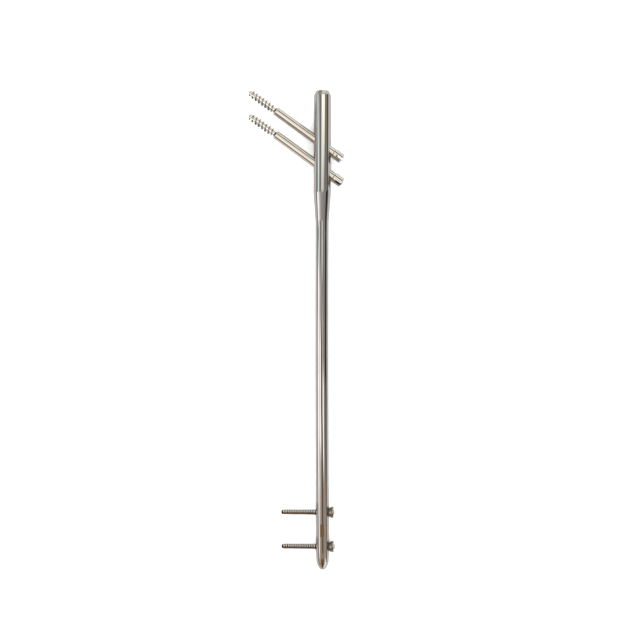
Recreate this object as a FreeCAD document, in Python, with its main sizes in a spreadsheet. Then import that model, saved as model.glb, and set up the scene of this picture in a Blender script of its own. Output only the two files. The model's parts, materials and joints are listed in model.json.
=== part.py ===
# Femoral reconstruction nail with two lag screws and two distal locking screws.
#
# The nail's own frame has its origin at the centre of the socket's mouth, +Y along the straight
# proximal axis towards the mouth, +X lateral (the side of the screw heads) and +Z anterior (the
# outside of the bow). Every piece is turned from there into the attitude in which the assembly
# comes to rest on a flat surface, bow upwards, so that the surface is horizontal.

import FreeCAD, Part
import Sketcher
import math
import os

from FreeCAD import Placement, Rotation, Vector

doc = FreeCAD.newDocument("IntramedullaryNail")

# Driving dimensions, in millimetres and degrees
DIMENSIONS = [
    ("nail_length", 360.0, "nail, along its axis from the proximal rim to the tip"),
    ("head_diameter", 13.0, "nail, thick proximal section"),
    ("head_length", 76.5, "nail, thick proximal section, from the rim to the taper"),
    ("rim_bevel_width", 1.4, "nail, bevel round the proximal rim"),
    ("rim_bevel_length", 3.2, "nail, bevel round the proximal rim, along the axis"),
    ("taper_length", 22.0, "nail, cone from the thick section to the shaft"),
    ("shaft_diameter", 10.0, "nail, shaft"),
    ("bow_radius", 1500.0, "nail, radius of the anterior bow at the axis"),
    ("distal_straight", 60.0, "nail, straight distal end that carries the locking holes"),
    ("lead_length", 15.0, "nail, tip end that is slimmer than the shaft, nose included"),
    ("nose_length", 7.2, "nail, rounded nose"),
    ("nose_diameter", 9.3, "nail, where the nose begins"),
    ("nose_rim_wall", 0.3, "nail, wall left round the guide wire's bore at the tip"),
    ("cannula_diameter", 3.2, "nail, bore for the guide wire"),
    ("socket_thread_diameter", 8.0, "nail, nominal thread of the proximal socket"),
    ("socket_thread_pitch", 1.0, "nail, thread pitch of the proximal socket"),
    ("socket_depth", 22.0, "nail, threaded depth of the proximal socket"),
    ("key_width", 3.0, "nail, keying notches across the proximal rim"),
    ("key_depth", 2.6, "nail, keying notches"),
    ("lag_angle", 36.5, "lag screws, above the perpendicular to the nail's axis"),
    ("lag_upper_distance", 40.5, "upper lag screw's crossing point, from the rim"),
    ("lag_spacing", 18.0, "between the lag screws' crossing points"),
    ("lag_diameter", 6.5, "lag screw, shank"),
    ("lag_thread_diameter", 6.4, "lag screw, thread crest"),
    ("lag_core_diameter", 3.7, "lag screw, thread root"),
    ("lag_pitch", 3.0, "lag screw, thread pitch"),
    ("lag_crest_width", 0.3, "lag screw, width of the thread's crest"),
    ("lag_foot_width", 1.2, "lag screw, width of the thread's foot at the core"),
    ("lag_thread_start", -1.5, "lag screw, start of the thread's first space, from the tip"),
    ("lag_thread_length", 26.5, "lag screw, from the tip to the full shank"),
    ("lag_relief_length", 1.6, "lag screw, plain neck between the thread and the shank's cone"),
    ("lag_length", 80.5, "lag screw, from the tip to the head"),
    ("lag_tip_angle", 90.0, "lag screw, whole angle of the tip"),
    ("lag_tip_flat", 0.15, "lag screw, radius of the blunt point"),
    ("lag_flutes", 3, "lag screw, cutting flutes at the tip"),
    ("lag_flute_radius", 1.7, "lag screw, cutting flutes"),
    ("lag_flute_bite", 0.25, "lag screw, how deep a flute reaches into the core"),
    ("lag_flute_length", 7.0, "lag screw, cutting flutes, from the tip"),
    ("lag_head_diameter", 7.6, "lag screw, head"),
    ("lag_head_length", 7.6, "lag screw, head with its conical underside"),
    ("lag_head_bevel", 0.5, "lag screw, bevel round the head's end"),
    ("lag_slot_width", 1.8, "lag screw, driver slot"),
    ("lag_slot_depth", 4.6, "lag screw, driver slot"),
    ("lag_tap_diameter", 3.3, "lag screw, core of the M4 thread in the head"),
    ("lag_tap_depth", 12.0, "lag screw, depth of that thread from the head's end"),
    ("lag_drill_angle", 118.0, "lag screw, whole angle of the drilled bottom"),
    ("lag_tap_flat", 0.15, "lag screw, radius of the drill's blunt point"),
    ("slot_angle_upper", 11.0, "upper lag screw, driver slot turned away from anterior"),
    ("slot_angle_lower", 34.0, "lower lag screw, driver slot turned away from anterior"),
    ("lock_lower_distance", 17.3, "lower locking hole, from the tip"),
    ("lock_spacing", 26.2, "between the locking holes"),
    ("lock_diameter", 4.5, "locking screw, thread crest"),
    ("lock_length", 40.0, "locking screw, over all"),
    ("lock_tip_bevel", 1.1, "locking screw, bevelled tip"),
    ("lock_collar_diameter", 6.8, "locking screw, head where the seating cone ends"),
    ("lock_head_diameter", 8.5, "locking screw, head"),
    ("lock_flare_length", 2.6, "locking screw, head from the seating cone to its full width"),
    ("lock_band_length", 0.4, "locking screw, head at its full width"),
    ("lock_face_bevel", 0.6, "locking screw, bevel round the face"),
    ("lock_hex_width", 3.5, "locking screw, across the flats of the hexagon socket"),
    ("lock_hex_depth", 2.8, "locking screw, hexagon socket"),
    ("lock_seat_depth", 1.0, "nail, conical seat under a locking screw's head"),
    ("flat_length", 9.6, "nail, locating flat between the locking holes"),
    ("flat_depth", 0.2, "nail, locating flat"),
    ("lag_hole_clearance", 0.08, "radial, between a lag screw's shank and its hole"),
    ("lock_hole_clearance", 0.1, "radial, between a locking screw and its hole"),
    ("seat_gap", 0.25, "between a screw's head and the nail"),
]

sizes = doc.addObject("Spreadsheet::Sheet", "Sizes")
for row, (alias, number, meaning) in enumerate(DIMENSIONS, start=1):
    sizes.set(f"A{row}", meaning)
    sizes.set(f"B{row}", str(number))
    sizes.setAlias(f"B{row}", alias)
doc.recompute()


def value(expression):
    """The number that an expression on the sheet gives."""
    result = sizes.evalExpression(str(expression))
    return float(getattr(result, "Value", result))


# Expressions that more than one feature uses
HEAD_RADIUS = "Sizes.head_diameter / 2"
SHAFT_RADIUS = "Sizes.shaft_diameter / 2"
CANNULA_RADIUS = "Sizes.cannula_diameter / 2"
SOCKET_RADIUS = "(Sizes.socket_thread_diameter - 1.0825 * Sizes.socket_thread_pitch) / 2"
TAPER_END = "(Sizes.head_length + Sizes.taper_length)"
BOW_LENGTH = f"(Sizes.nail_length - {TAPER_END} - Sizes.distal_straight)"
BOW_ANGLE = f"({BOW_LENGTH} / Sizes.bow_radius * 180 / pi)"
DISTAL_Y = f"(-{TAPER_END} - Sizes.bow_radius * sin({BOW_ANGLE}))"
DISTAL_Z = f"(-Sizes.bow_radius * (1 - cos({BOW_ANGLE})))"
LAG_HOLE_RADIUS = "(Sizes.lag_diameter / 2 + Sizes.lag_hole_clearance)"
LOCK_HOLE_RADIUS = "(Sizes.lock_diameter / 2 + Sizes.lock_hole_clearance)"
REACH = "(Sizes.head_diameter * 1.5)"


def origin_plane(body, role):
    """One of a body's own origin planes."""
    return next(item for item in body.Origin.OriginFeatures if item.Role == role)


def new_sketch(body, name, role, offset=None, turn=None):
    """A sketch on an origin plane, moved by expressions and turned about an axis of the plane."""
    sketch = body.newObject("Sketcher::SketchObject", name)
    sketch.AttachmentSupport = [(origin_plane(body, role), "")]
    sketch.MapMode = "FlatFace"
    if turn:
        axis, angle = turn
        sketch.AttachmentOffset = Placement(Vector(), Rotation(axis, value(angle)))
        sketch.setExpression("AttachmentOffset.Rotation.Angle", angle)
    for letter, distance in zip("xyz", offset or ()):
        sketch.setExpression(f"AttachmentOffset.Base.{letter}", distance)
    return sketch


def fix(sketch, kind, name, expression, *where):
    """A dimension whose value follows the sheet."""
    sketch.addConstraint(Sketcher.Constraint(kind, *where, value(expression)))
    sketch.renameConstraint(len(sketch.Constraints) - 1, name)
    sketch.setExpression(f"Constraints.{name}", expression)


def arc_between(start, end, radius, bulge):
    """An arc from start to end; bulge is 1 where it turns left on the way and -1 where right."""
    chord = end - start
    across = Vector(-chord.y, chord.x, 0).normalize()
    rise = math.sqrt(max(radius ** 2 - (chord.Length / 2) ** 2, 0))
    centre = (start + end) / 2 + across * rise * bulge
    first, last = (start, end) if bulge > 0 else (end, start)
    first_angle = math.atan2(first.y - centre.y, first.x - centre.x)
    last_angle = math.atan2(last.y - centre.y, last.x - centre.x)
    return Part.ArcOfCircle(Part.Circle(centre, Vector(0, 0, 1), radius), first_angle, last_angle)


def outline(body, name, role, corners, arcs=None, offset=None, turn=None):
    """A closed outline through corners given as expressions.

    arcs maps the number of a side to the radius and the bulge of the arc that it is made of;
    side 0 leaves corner 0.
    """
    sketch = new_sketch(body, name, role, offset, turn)
    arcs = arcs or {}
    points = [Vector(value(across), value(along), 0) for across, along in corners]
    ends = []
    for side, start in enumerate(points):
        end = points[(side + 1) % len(points)]
        if side in arcs:
            radius, bulge = arcs[side]
            sketch.addGeometry(arc_between(start, end, value(radius), bulge), False)
            ends.append((1, 2) if bulge > 0 else (2, 1))
        else:
            sketch.addGeometry(Part.LineSegment(start, end), False)
            ends.append((1, 2))
    for side in range(len(points)):
        following = (side + 1) % len(points)
        joint = (side, ends[side][1], following, ends[following][0])
        sketch.addConstraint(Sketcher.Constraint("Coincident", *joint))
    for side, (across, along) in enumerate(corners):
        vertex = (side, ends[side][0])
        for kind, axis, expression in (("DistanceX", -2, across), ("DistanceY", -1, along)):
            if expression == "0":
                sketch.addConstraint(Sketcher.Constraint("PointOnObject", *vertex, axis))
            else:
                fix(sketch, kind, f"{kind[-1].lower()}{side}", expression, -1, 1, *vertex)
    for side, (radius, bulge) in arcs.items():
        fix(sketch, "Radius", f"radius{side}", radius, side)
    return sketch


def turned(body, kind, name, sketch, axis, angle="360"):
    """A revolution or a groove of a sketch about one of the sketch's own axes."""
    feature = body.newObject(f"PartDesign::{kind}", name)
    feature.Profile = sketch
    feature.ReferenceAxis = (sketch, [axis])
    feature.setExpression("Angle", angle)
    sketch.Visibility = False
    return feature


def pocket(body, name, sketch, length=None, reverse=False):
    """A pocket of some length, or right through to both sides where none is given."""
    feature = body.newObject("PartDesign::Pocket", name)
    feature.Profile = sketch
    if length:
        feature.setExpression("Length", length)
        feature.Reversed = reverse
    else:
        feature.Type = "ThroughAll"
        feature.SideType = "Symmetric"
    return feature


def new_body(label):
    body = doc.addObject("PartDesign::Body", label)
    body.Label = label
    return body


# Nail

def sagittal_distal():
    """Offset and turn of a side-view sketch whose +x runs down the distal end's axis."""
    return {"offset": (DISTAL_Y, DISTAL_Z, "0"), "turn": (Vector(0, 0, 1), f"180 + {BOW_ANGLE}")}


def coronal_distal(height="0"):
    """Offset and turn of a front-view sketch whose -y runs down the distal end's axis."""
    along = f"{DISTAL_Y} - ({height}) * sin({BOW_ANGLE})"
    front = f"{DISTAL_Z} + ({height}) * cos({BOW_ANGLE})"
    return {"offset": ("0", along, front), "turn": (Vector(1, 0, 0), BOW_ANGLE)}


def bow(body, kind, name, radius):
    """A round section swung through the bow, as material or as a bore."""
    sketch = new_sketch(body, f"{name}_section", "XZ_Plane", offset=("0", "0", TAPER_END))
    circle = Part.Circle(Vector(0, 0, 0), Vector(0, 0, 1), value(radius))
    sketch.addGeometry(circle, False)
    sketch.addConstraint(Sketcher.Constraint("Coincident", 0, 3, -1, 1))
    fix(sketch, "Radius", "section_radius", radius, 0)
    depth = -value("Sizes.bow_radius")
    hub = Part.LineSegment(Vector(-10, depth, 0), Vector(10, depth, 0))
    sketch.addGeometry(hub, True)
    sketch.addConstraint(Sketcher.Constraint("Symmetric", 1, 1, 1, 2, -2))
    sketch.addConstraint(Sketcher.Constraint("DistanceX", 1, 1, 1, 2, 20))
    fix(sketch, "DistanceY", "hub_depth", "-Sizes.bow_radius", -1, 1, 1, 1)
    return turned(body, kind, name, sketch, "Axis0", BOW_ANGLE)


def nail():
    body = new_body("nail")
    head = outline(
        body, "head_outline", "XY_Plane",
        [
            ("0", "0"),
            (f"{HEAD_RADIUS} - Sizes.rim_bevel_width", "0"),
            (HEAD_RADIUS, "-Sizes.rim_bevel_length"),
            (HEAD_RADIUS, "-Sizes.head_length"),
            (SHAFT_RADIUS, f"-{TAPER_END}"),
            ("0", f"-{TAPER_END}"),
        ],
    )
    turned(body, "Revolution", "head", head, "V_Axis")
    bow(body, "Revolution", "shaft", SHAFT_RADIUS)

    nose_start = "Sizes.distal_straight - Sizes.nose_length"
    nose_radius = "Sizes.nose_diameter / 2"
    tip_radius = f"({CANNULA_RADIUS} + Sizes.nose_rim_wall)"
    drop = f"({nose_radius} - {tip_radius})"
    ogive = f"(Sizes.nose_length ^ 2 + {drop} ^ 2) / (2 * {drop})"
    tip = outline(
        body, "tip_outline", "YZ_Plane",
        [
            ("0", "0"),
            ("0", SHAFT_RADIUS),
            ("Sizes.distal_straight - Sizes.lead_length", SHAFT_RADIUS),
            (nose_start, nose_radius),
            ("Sizes.distal_straight", tip_radius),
            ("Sizes.distal_straight", "0"),
        ],
        arcs={3: (ogive, -1)},
        **sagittal_distal(),
    )
    turned(body, "Revolution", "tip", tip, "H_Axis")

    thread_relief = f"({SOCKET_RADIUS} - {CANNULA_RADIUS})"
    mouth = "Sizes.socket_thread_diameter / 2 + 0.2"
    socket = outline(
        body, "socket_outline", "XY_Plane",
        [
            ("0", "0"),
            (mouth, "0"),
            (SOCKET_RADIUS, f"-({mouth} - {SOCKET_RADIUS})"),
            (SOCKET_RADIUS, "-Sizes.socket_depth"),
            (CANNULA_RADIUS, f"-(Sizes.socket_depth + {thread_relief})"),
            (CANNULA_RADIUS, f"-{TAPER_END}"),
            ("0", f"-{TAPER_END}"),
        ],
    )
    turned(body, "Groove", "socket", socket, "V_Axis")
    bow(body, "Groove", "bow_bore", CANNULA_RADIUS)
    tip_bore = outline(
        body, "tip_bore_outline", "YZ_Plane",
        [
            ("0", "0"),
            ("0", CANNULA_RADIUS),
            ("Sizes.distal_straight", CANNULA_RADIUS),
            ("Sizes.distal_straight", "0"),
        ],
        **sagittal_distal(),
    )
    turned(body, "Groove", "tip_bore", tip_bore, "H_Axis")

    lag_hole = outline(
        body, "lag_hole_outline", "XY_Plane",
        [
            (f"-{REACH}", "0"),
            (REACH, "0"),
            (REACH, LAG_HOLE_RADIUS),
            (f"-{REACH}", LAG_HOLE_RADIUS),
        ],
        offset=("0", "-Sizes.lag_upper_distance", "0"),
        turn=(Vector(0, 0, 1), "-Sizes.lag_angle"),
    )
    hole = turned(body, "Groove", "lag_hole", lag_hole, "H_Axis")
    row(body, "lag_holes", hole, (origin_plane(body, "XZ_Plane"), [""]), "Sizes.lag_spacing")

    seat = f"({SHAFT_RADIUS} - Sizes.lock_seat_depth)"
    flare = "(Sizes.lock_seat_depth + 1)"
    height = "-(Sizes.distal_straight - Sizes.lock_lower_distance - Sizes.lock_spacing)"
    lock_hole = outline(
        body, "lock_hole_outline", "XY_Plane",
        [
            (f"-{REACH}", height),
            (f"{seat} + {flare}", height),
            (f"{seat} + {flare}", f"{height} + {LOCK_HOLE_RADIUS} + {flare}"),
            (seat, f"{height} + {LOCK_HOLE_RADIUS}"),
            (f"-{REACH}", f"{height} + {LOCK_HOLE_RADIUS}"),
        ],
        **coronal_distal(),
    )
    axis = Part.LineSegment(Vector(-1, value(height), 0), Vector(1, value(height), 0))
    lock_hole.addGeometry(axis, True)
    lock_hole.addConstraint(Sketcher.Constraint("PointOnObject", 5, 1, 0))
    lock_hole.addConstraint(Sketcher.Constraint("PointOnObject", 5, 2, 0))
    lock_hole.addConstraint(Sketcher.Constraint("DistanceX", -1, 1, 5, 1, -1))
    lock_hole.addConstraint(Sketcher.Constraint("DistanceX", -1, 1, 5, 2, 1))
    hole = turned(body, "Groove", "lock_hole", lock_hole, "Axis0")
    row(body, "lock_holes", hole, (lock_hole, ["V_Axis"]), "Sizes.lock_spacing", reverse=True)

    middle = "(Sizes.distal_straight - Sizes.lock_lower_distance - Sizes.lock_spacing / 2)"
    flat = outline(
        body, "flat_outline", "XY_Plane",
        [
            (f"-{SHAFT_RADIUS}", f"-{middle} - Sizes.flat_length / 2"),
            (SHAFT_RADIUS, f"-{middle} - Sizes.flat_length / 2"),
            (SHAFT_RADIUS, f"-{middle} + Sizes.flat_length / 2"),
            (f"-{SHAFT_RADIUS}", f"-{middle} + Sizes.flat_length / 2"),
        ],
        **coronal_distal(f"{SHAFT_RADIUS} - Sizes.flat_depth"),
    )
    pocket(body, "locating_flat", flat, "Sizes.flat_depth * 2", reverse=True)

    key = outline(
        body, "key_outline", "YZ_Plane",
        [
            ("-Sizes.key_depth", "-Sizes.key_width / 2"),
            ("1", "-Sizes.key_width / 2"),
            ("1", "Sizes.key_width / 2"),
            ("-Sizes.key_depth", "Sizes.key_width / 2"),
        ],
    )
    pocket(body, "key_notches", key)
    return body


def row(body, name, original, direction, spacing, reverse=False):
    """A second copy of a feature, one spacing further along."""
    pattern = body.newObject("PartDesign::LinearPattern", name)
    pattern.Originals = [original]
    pattern.Direction = direction
    pattern.Reversed = reverse
    pattern.Occurrences = 2
    pattern.setExpression("Length", spacing)
    body.Tip = pattern
    return pattern


# Screws: each points its tip to -Z and its head to +Z, and its head starts at Z = 0

def lag_screw(label, slot_angle):
    """Coarse buttress thread, plain shank and a cylindrical head with a slot and a tapped hole."""
    body = new_body(label)
    core = "(Sizes.lag_core_diameter / 2)"
    neck = f"({core} - 0.05)"
    crest = "(Sizes.lag_thread_diameter / 2)"
    shank = "(Sizes.lag_diameter / 2)"
    head = "(Sizes.lag_head_diameter / 2)"
    tip = "-Sizes.lag_length"
    thread_end = f"({tip} + Sizes.lag_thread_length)"
    runout = f"({thread_end} - ({shank} - {neck}))"
    blank = outline(
        body, f"{label}_blank_outline", "XZ_Plane",
        [
            ("0", tip),
            ("Sizes.lag_tip_flat", tip),
            (crest, f"{tip} + ({crest} - Sizes.lag_tip_flat) / tan(Sizes.lag_tip_angle / 2)"),
            (crest, f"{runout} - Sizes.lag_relief_length"),
            (neck, f"{runout} - Sizes.lag_relief_length"),
            (neck, runout),
            (shank, thread_end),
            (shank, "0"),
            (head, f"{head} - {shank}"),
            (head, "Sizes.lag_head_length - Sizes.lag_head_bevel"),
            (f"{head} - Sizes.lag_head_bevel", "Sizes.lag_head_length"),
            ("0", "Sizes.lag_head_length"),
        ],
    )
    turned(body, "Revolution", f"{label}_blank", blank, "V_Axis")

    away = f"{core} + Sizes.lag_flute_radius - Sizes.lag_flute_bite"
    flute_end = ("0", "0", f"{tip} + Sizes.lag_flute_length")
    section = new_sketch(body, f"{label}_flute_outline", "XY_Plane", offset=flute_end)
    round_tool = Part.Circle(Vector(value(away), 0, 0), Vector(0, 0, 1), value("Sizes.lag_flute_radius"))
    section.addGeometry(round_tool, False)
    section.addConstraint(Sketcher.Constraint("PointOnObject", 0, 3, -1))
    fix(section, "DistanceX", "across", away, -1, 1, 0, 3)
    fix(section, "Radius", "radius", "Sizes.lag_flute_radius", 0)
    flute = pocket(body, f"{label}_flute", section, "Sizes.lag_flute_length + 1")
    flutes = body.newObject("PartDesign::PolarPattern", f"{label}_flutes")
    flutes.Originals = [flute]
    flutes.Axis = (section, ["N_Axis"])
    flutes.Angle = 360
    flutes.setExpression("Occurrences", "Sizes.lag_flutes")
    body.Tip = flutes

    # The space between two flights, a little taller than the crest so that it cuts right through
    over = "0.2"
    height = f"({crest} - {core})"
    slopes = "(Sizes.lag_foot_width - Sizes.lag_crest_width)"
    leading = f"({slopes} * 0.75 * ({height} + {over}) / {height})"
    trailing = f"({slopes} * 0.25 * ({height} + {over}) / {height})"
    start = f"({tip} + Sizes.lag_thread_start)"
    root = "(Sizes.lag_pitch - Sizes.lag_foot_width)"
    space = outline(
        body, f"{label}_thread_outline", "XZ_Plane",
        [
            (core, start),
            (core, f"{start} + {root}"),
            (f"{crest} + {over}", f"{start} + {root} + {leading}"),
            (f"{crest} + {over}", f"{start} - {trailing}"),
        ],
    )
    thread = body.newObject("PartDesign::SubtractiveHelix", f"{label}_thread")
    thread.Profile = space
    thread.ReferenceAxis = (space, ["V_Axis"])
    thread.Mode = "pitch-height-angle"
    thread.setExpression("Pitch", "Sizes.lag_pitch")
    thread.setExpression("Height", f"{runout} - {root} - {leading} - {start}")

    slot = outline(
        body, f"{label}_slot_outline", "XY_Plane",
        [
            ("-Sizes.lag_slot_width / 2", "-Sizes.lag_head_diameter"),
            ("Sizes.lag_slot_width / 2", "-Sizes.lag_head_diameter"),
            ("Sizes.lag_slot_width / 2", "Sizes.lag_head_diameter"),
            ("-Sizes.lag_slot_width / 2", "Sizes.lag_head_diameter"),
        ],
        offset=("0", "0", "Sizes.lag_head_length"),
        turn=(Vector(0, 0, 1), slot_angle),
    )
    pocket(body, f"{label}_slot", slot, "Sizes.lag_slot_depth")

    wall = "Sizes.lag_tap_diameter / 2"
    bottom = "(Sizes.lag_head_length - Sizes.lag_tap_depth)"
    point = f"({wall} - Sizes.lag_tap_flat) / tan(Sizes.lag_drill_angle / 2)"
    tap = outline(
        body, f"{label}_tap_outline", "XZ_Plane",
        [
            ("0", "Sizes.lag_head_length"),
            (wall, "Sizes.lag_head_length"),
            (wall, bottom),
            ("Sizes.lag_tap_flat", f"{bottom} - {point}"),
            ("0", f"{bottom} - {point}"),
        ],
    )
    turned(body, "Groove", f"{label}_tap", tap, "V_Axis")
    return body


LOCK_SHANK = "(Sizes.lock_diameter / 2)"
LOCK_CONE = f"(Sizes.lock_collar_diameter / 2 - {LOCK_SHANK})"
LOCK_HEAD = f"({LOCK_CONE} + Sizes.lock_flare_length + Sizes.lock_band_length + Sizes.lock_face_bevel)"


def locking_screw(label):
    """A shank as wide as its fine thread; the head has a seating cone, a flare and a hexagon socket."""
    body = new_body(label)
    collar = "Sizes.lock_collar_diameter / 2"
    head = "Sizes.lock_head_diameter / 2"
    tip = f"({LOCK_HEAD} - Sizes.lock_length)"
    blank = outline(
        body, f"{label}_blank_outline", "XZ_Plane",
        [
            ("0", tip),
            (f"{LOCK_SHANK} - Sizes.lock_tip_bevel", tip),
            (LOCK_SHANK, f"{tip} + Sizes.lock_tip_bevel"),
            (LOCK_SHANK, "0"),
            (collar, LOCK_CONE),
            (head, f"{LOCK_CONE} + Sizes.lock_flare_length"),
            (head, f"{LOCK_HEAD} - Sizes.lock_face_bevel"),
            (f"{head} - Sizes.lock_face_bevel", LOCK_HEAD),
            ("0", LOCK_HEAD),
        ],
    )
    turned(body, "Revolution", f"{label}_blank", blank, "V_Axis")

    corner = "Sizes.lock_hex_width / sqrt(3)"
    hexagon = outline(
        body, f"{label}_socket_outline", "XY_Plane",
        [(f"{corner} * cos({turn})", f"{corner} * sin({turn})") for turn in range(15, 375, 60)],
        offset=("0", "0", LOCK_HEAD),
    )
    pocket(body, f"{label}_socket", hexagon, "Sizes.lock_hex_depth")
    return body


# Places of the screws in the nail's frame

def lag_place(distance):
    """A lag screw whose head stops one gap short of the nail's side."""
    angle = math.radians(value("Sizes.lag_angle"))
    outward = Vector(math.cos(angle), -math.sin(angle), 0)
    shank = value("Sizes.lag_diameter / 2")
    head = value("Sizes.lag_head_diameter / 2")
    side = value(HEAD_RADIUS) + value("Sizes.seat_gap")
    seats = [
        (side + radius * math.sin(angle)) / math.cos(angle) - (radius - shank)
        for radius in (value(LAG_HOLE_RADIUS), head)
    ]
    start = Vector(0, -distance, 0) + outward * max(seats)
    return Placement(start, Rotation(Vector(0, 0, 1).cross(outward), Vector(0, 0, 1), outward, "ZYX"))


def lock_place(distance):
    """A locking screw whose seating cone lies one gap inside the nail's conical seat."""
    angle = math.radians(value(BOW_ANGLE))
    down = Vector(0, -math.cos(angle), -math.sin(angle))
    outward = Vector(1, 0, 0)
    seat = value(SHAFT_RADIUS) - value("Sizes.lock_seat_depth")
    start = seat + math.sqrt(2) * value("Sizes.seat_gap") - value("Sizes.lock_hole_clearance")
    along = value("Sizes.distal_straight") - distance
    base = Vector(0, value(DISTAL_Y), value(DISTAL_Z)) + down * along + outward * start
    return Placement(base, Rotation(-down, outward.cross(-down), outward, "ZYX"))


def resting_attitude(screw):
    """The turn that lays the assembly on three circles: rim, nose and a lag screw's first crest.

    Each circle is a centre, a unit normal and a radius. In the direction g, which points down, its
    lowest point lies at g.centre + radius * sqrt(1 - (g.normal)^2), and all three must agree.
    """
    angle = math.radians(value(BOW_ANGLE))
    down_axis = Vector(0, -math.cos(angle), -math.sin(angle))
    nose = value("Sizes.distal_straight - Sizes.nose_length")
    nose_centre = Vector(0, value(DISTAL_Y), value(DISTAL_Z)) + down_axis * nose
    rim_centre = Vector(0, -value("Sizes.rim_bevel_length"), 0)
    circles = [
        (rim_centre, Vector(0, 1, 0), value(HEAD_RADIUS)),
        (nose_centre, down_axis, value("Sizes.nose_diameter / 2")),
    ]
    crest = value("Sizes.lag_thread_diameter / 2")
    cone = math.radians(value("Sizes.lag_tip_angle / 2"))
    first_crest = (crest - value("Sizes.lag_tip_flat")) / math.tan(cone) - value("Sizes.lag_length")
    screw_axis = screw.Rotation.multVec(Vector(0, 0, 1))
    circles.append((screw.multVec(Vector(0, 0, first_crest)), screw_axis, crest))

    gravity = Vector(0, 0, -1)
    for _ in range(50):
        drops = [
            radius * math.sqrt(1 - gravity.dot(normal) ** 2) for _, normal, radius in circles
        ]
        (rim, _, _), (tip, _, _), (side, _, _) = circles
        # two linear equations for the small sideways parts of gravity
        along = tip - rim
        across = side - rim
        right = (drops[0] - drops[1] - gravity.z * along.z, drops[0] - drops[2] - gravity.z * across.z)
        determinant = along.x * across.y - along.y * across.x
        gx = (right[0] * across.y - along.y * right[1]) / determinant
        gy = (along.x * right[1] - right[0] * across.x) / determinant
        gravity = Vector(gx, gy, -math.sqrt(1 - gx ** 2 - gy ** 2))
    up = -gravity
    forward = (Vector(0, 1, 0) - up * up.y).normalize()
    return Placement(Vector(), Rotation(forward.cross(up), forward, up, "ZYX").inverted())


lag_upper = value("Sizes.lag_upper_distance")
lag_lower = value("Sizes.lag_upper_distance + Sizes.lag_spacing")
lock_lower = value("Sizes.lock_lower_distance")
lock_upper = value("Sizes.lock_lower_distance + Sizes.lock_spacing")
pieces = {
    nail(): Placement(),
    lag_screw("lag_screw_upper", "Sizes.slot_angle_upper"): lag_place(lag_upper),
    lag_screw("lag_screw_lower", "Sizes.slot_angle_lower"): lag_place(lag_lower),
    locking_screw("locking_screw_upper"): lock_place(lock_upper),
    locking_screw("locking_screw_lower"): lock_place(lock_lower),
}
attitude = resting_attitude(lag_place(lag_upper))
for body, place in pieces.items():
    body.Placement = attitude * place
doc.recompute()

faults = [item.Name for item in doc.Objects if {"Invalid", "Error"} & set(item.State)]
faults += [body.Label for body in pieces if body.Shape.isNull() or not body.Shape.isValid()]
if faults:
    raise RuntimeError(f"failed: {faults}")

os.makedirs("parts", exist_ok=True)
for body in pieces:
    body.Shape.exportStep(f"parts/{body.Label}.step")
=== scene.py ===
"""Femoral reconstruction nail, its lag screws and its locking screws, finished for pictures."""

import json
import math
from collections import Counter

import bpy
from mathutils import Matrix, Vector


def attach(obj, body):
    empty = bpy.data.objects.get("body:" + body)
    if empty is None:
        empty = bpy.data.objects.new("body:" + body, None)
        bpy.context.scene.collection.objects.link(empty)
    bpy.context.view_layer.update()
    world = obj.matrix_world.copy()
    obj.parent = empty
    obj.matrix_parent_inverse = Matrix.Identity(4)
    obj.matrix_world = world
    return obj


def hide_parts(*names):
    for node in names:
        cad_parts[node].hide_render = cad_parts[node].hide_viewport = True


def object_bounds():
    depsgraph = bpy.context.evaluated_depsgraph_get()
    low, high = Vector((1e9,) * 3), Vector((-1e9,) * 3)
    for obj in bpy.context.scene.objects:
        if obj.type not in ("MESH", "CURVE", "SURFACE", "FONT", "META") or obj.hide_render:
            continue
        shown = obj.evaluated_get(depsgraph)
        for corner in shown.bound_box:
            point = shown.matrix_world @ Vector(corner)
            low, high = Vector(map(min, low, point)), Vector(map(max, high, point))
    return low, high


bl_info = {
    "name": "Femoral Nail Set",
    "version": (1, 0, 0),
    "blender": (4, 5, 0),
    "location": "View3D > Sidebar > Nail Set",
    "description": "Models and finishes a femoral nail with its lag screws and locking screws",
    "category": "Add Mesh",
}

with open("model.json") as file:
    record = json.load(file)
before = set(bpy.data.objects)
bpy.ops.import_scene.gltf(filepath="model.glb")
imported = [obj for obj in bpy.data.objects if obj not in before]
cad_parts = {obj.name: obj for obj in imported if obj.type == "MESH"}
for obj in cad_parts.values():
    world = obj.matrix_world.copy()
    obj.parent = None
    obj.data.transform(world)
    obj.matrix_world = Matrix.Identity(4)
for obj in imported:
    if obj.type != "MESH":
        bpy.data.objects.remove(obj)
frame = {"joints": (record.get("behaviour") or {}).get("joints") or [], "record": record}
CAD_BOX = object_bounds()
MOUNTS = {mount["name"]: mount for mount in frame["record"]["mounts"]}
JOINTS = {joint["name"]: joint for joint in frame["joints"]}

# The nail's own axes in the frame: lateral to the screw heads, proximal along the straight end
LATERAL = Vector(JOINTS["locking_screw_upper_slide"]["axis"]).normalized()
PROXIMAL = Vector(MOUNTS["insertion_socket"]["axis"]).normalized()
ANTERIOR = LATERAL.cross(PROXIMAL)

MM = 0.001
TURN = 2 * math.pi


# Working on meshes. All shapes are made in millimetres about their own axes, then put in place.

def begin(name, add, **settings):
    """Adds a primitive with nothing else selected, names it and opens it for editing."""
    bpy.ops.object.select_all(action="DESELECT")
    add(**settings)
    piece = bpy.context.object
    piece.name = piece.data.name = name
    bpy.ops.object.mode_set(mode="EDIT")
    bpy.ops.mesh.select_mode(type="VERT")
    bpy.ops.mesh.select_all(action="SELECT")
    return piece


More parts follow.
